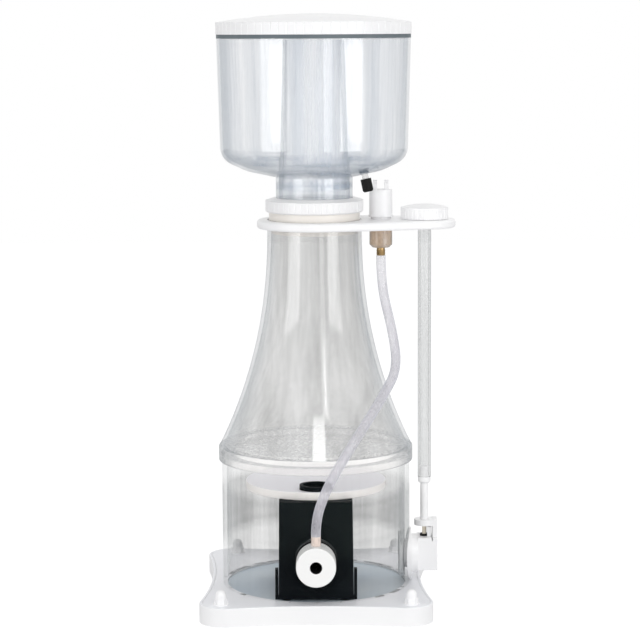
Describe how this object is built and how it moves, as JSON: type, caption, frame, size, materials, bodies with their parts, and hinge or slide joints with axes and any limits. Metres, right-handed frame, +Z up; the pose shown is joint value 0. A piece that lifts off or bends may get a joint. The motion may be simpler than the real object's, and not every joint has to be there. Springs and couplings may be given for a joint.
{
  "type": "protein skimmer",
  "caption": "Free-standing protein skimmer: clear pump column and flared cone on a waisted flat base, lift-off collection cup on a union neck, and a long-shafted butterfly level valve.",
  "frame": {"origin": "where the column's axis meets the surface the base stands on", "axes": "+Z up along the column, -Y towards the intake venturi at the front, +X towards the outlet and its level control"},
  "size_m": [0.2693, 0.277, 0.623],
  "materials": {
    "white_plastic": "cast white sheet, polished edges",
    "cream_plastic": "warm white moulding",
    "column_clear": "clear extruded tube, polished",
    "cone_clear": "clear blown cone, polished",
    "cup_clear": "clear moulded cup, polished",
    "riser_clear": "clear turned tube with fine turning marks",
    "shaft_clear": "clear extruded tube",
    "hose_clear": "translucent flexible hose",
    "plate_white": "drilled translucent sheet, sawn edge",
    "floor_grey": "grey-blue sheet seen through the clear column",
    "pump_black": "fine-grained black moulding",
    "magnet_dark": "dark ferrite in a moulded sleeve",
    "wheel_cream": "moulded needle wheel",
    "ceramic_white": "polished ceramic shaft",
    "rubber_black": "moulded rubber",
    "seal_pale": "pale silicone ring",
    "seal_green": "dark grey-green rubber",
    "foam_grey": "open-cell foam",
    "steel_bolt": "stainless steel",
    "nut_white": "domed nylon cap",
    "nipple_clear": "clear moulded nipple",
    "fitting_amber": "amber translucent fitting",
    "brass_barb": "turned brass",
    "stem_tan": "tan moulded rod"
  },
  "bodies": {
    "column": {"base_plate": "white_plastic", "flange_plate": "white_plastic", "floor_disc": "floor_grey", "base_bolts": "steel_bolt", "nut_washers": "nut_white", "cap_nuts": "nut_white", "body_tube": "column_clear", "joint_ring": "column_clear", "body_cone": "cone_clear", "bubble_plate": "plate_white", "bracket": "white_plastic", "neck_ring": "cream_plastic", "cup_oring": "seal_pale", "air_valve_body": "white_plastic", "silencer_foam": "foam_grey", "hose_fitting": "fitting_amber", "hose_barb": "brass_barb", "air_hose": "hose_clear", "venturi_body": "white_plastic", "venturi_nipple": "fitting_amber", "intake_seal": "rubber_black", "pump_stand": "pump_black", "pump_pads": "rubber_black", "pump_head": "pump_black", "volute_cover": "pump_black", "motor_housing": "pump_black", "cable_gland": "pump_black", "pump_outlet": "pump_black", "diffuser_disc": "white_plastic", "pump_shaft": "ceramic_white", "shaft_bushes": "rubber_black", "outlet_flange": "white_plastic", "outlet_backing": "floor_grey", "valve_body": "white_plastic", "valve_yoke": "white_plastic", "stem_seal": "rubber_black", "shaft_bush": "white_plastic"},
    "cup": {"cup_shell": "cup_clear", "riser_tube": "riser_clear", "drain_grommet": "rubber_black", "drain_nipple": "nipple_clear"},
    "drain_plug": {"drain_cap": "rubber_black"},
    "lid": {"cup_lid": "white_plastic", "lid_seal": "seal_green"},
    "collar": {"union_collar": "white_plastic"},
    "air_cap": {"air_valve_cap": "white_plastic"},
    "level_shaft": {"adjust_knob": "white_plastic", "shaft_tube": "shaft_clear", "shaft_plug": "white_plastic", "valve_stem": "stem_tan", "valve_disc": "white_plastic"},
    "rotor": {"rotor_magnet": "magnet_dark", "needle_wheel": "wheel_cream"}
  },
  "joints": [
    {"name": "cup_lift", "type": "slide", "parent": "column", "child": "cup", "axis": [0, 0, 1], "range_m": [0, 0.08]},
    {"name": "lid_lift", "type": "slide", "parent": "cup", "child": "lid", "axis": [0, 0, 1], "range_m": [0, 0.04]},
    {"name": "collar_turn", "type": "hinge", "parent": "column", "child": "collar", "pos_m": [0, 0, 0.42], "axis": [0, 0, 1], "range_deg": [0, 120]},
    {"name": "drain_cap_pull", "type": "slide", "parent": "cup", "child": "drain_plug", "axis": [0.206, -0.075, -0.9757], "range_m": [0, 0.014]},
    {"name": "air_valve_turn", "type": "hinge", "parent": "column", "child": "air_cap", "pos_m": [0.0698, 0, 0.42], "axis": [0, 0, 1], "range_deg": [-60, 120]},
    {"name": "level_turn", "type": "hinge", "parent": "column", "child": "level_shaft", "pos_m": [0.1158, 0, 0.049], "axis": [0, 0, 1], "range_deg": [0, 90]},
    {"name": "rotor_spin", "type": "hinge", "parent": "column", "child": "rotor", "pos_m": [0, -0.04, 0.064], "axis": [0, 1, 0], "continuous": true}
  ]
}
